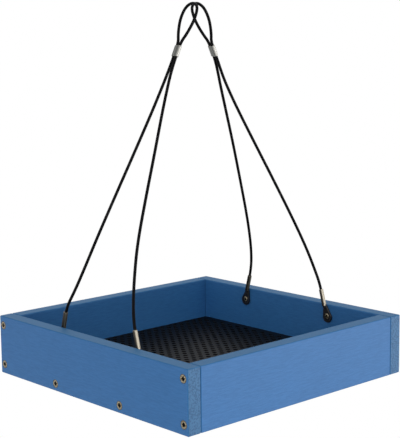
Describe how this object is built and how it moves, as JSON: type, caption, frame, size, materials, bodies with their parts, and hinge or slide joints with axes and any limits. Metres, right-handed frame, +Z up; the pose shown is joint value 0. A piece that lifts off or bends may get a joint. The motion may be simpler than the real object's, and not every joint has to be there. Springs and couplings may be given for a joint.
{
  "type": "platform bird feeder",
  "caption": "Square open tray with a perforated floor, hung from a hook by cables that end in crimped loops, for feeding garden birds.",
  "frame": {"origin": "the hook's seat: midway between the undersides of the tops of the two cable loops, straight above the tray's centre", "axes": "+Z up, away from the tray; the side boards that carry the cable eyes face -X (left) and +X (right), the front board faces -Y"},
  "size_m": [0.305, 0.305, 0.3952],
  "materials": {
    "board": "blue recycled-plastic lumber with a fine pressed grain, satin",
    "floor_sheet": "black powder coat on punched sheet",
    "screw_steel": "zinc-plated, slightly yellow",
    "black_eye": "black coated steel, satin",
    "crimped_metal": "bright drawn aluminium with crimp facets",
    "cable_jacket": "black vinyl over wire rope, satin"
  },
  "bodies": {
    "root": {"left_board": "board", "right_board": "board", "front_board": "board", "back_board": "board", "front_cross_bar": "board", "back_cross_bar": "board", "floor_screen": "floor_sheet", "corner_screws": "screw_steel", "cross_bar_screws": "screw_steel", "eye_screws": "screw_steel", "left_front_cable_eye": "black_eye", "left_back_cable_eye": "black_eye", "right_front_cable_eye": "black_eye", "right_back_cable_eye": "black_eye", "left_front_cable_sleeve": "crimped_metal", "left_back_cable_sleeve": "crimped_metal", "right_front_cable_sleeve": "crimped_metal", "right_back_cable_sleeve": "crimped_metal", "left_loop_ferrule": "crimped_metal", "right_loop_ferrule": "crimped_metal", "left_cable": "cable_jacket", "right_cable": "cable_jacket"}
  },
  "joints": []
}
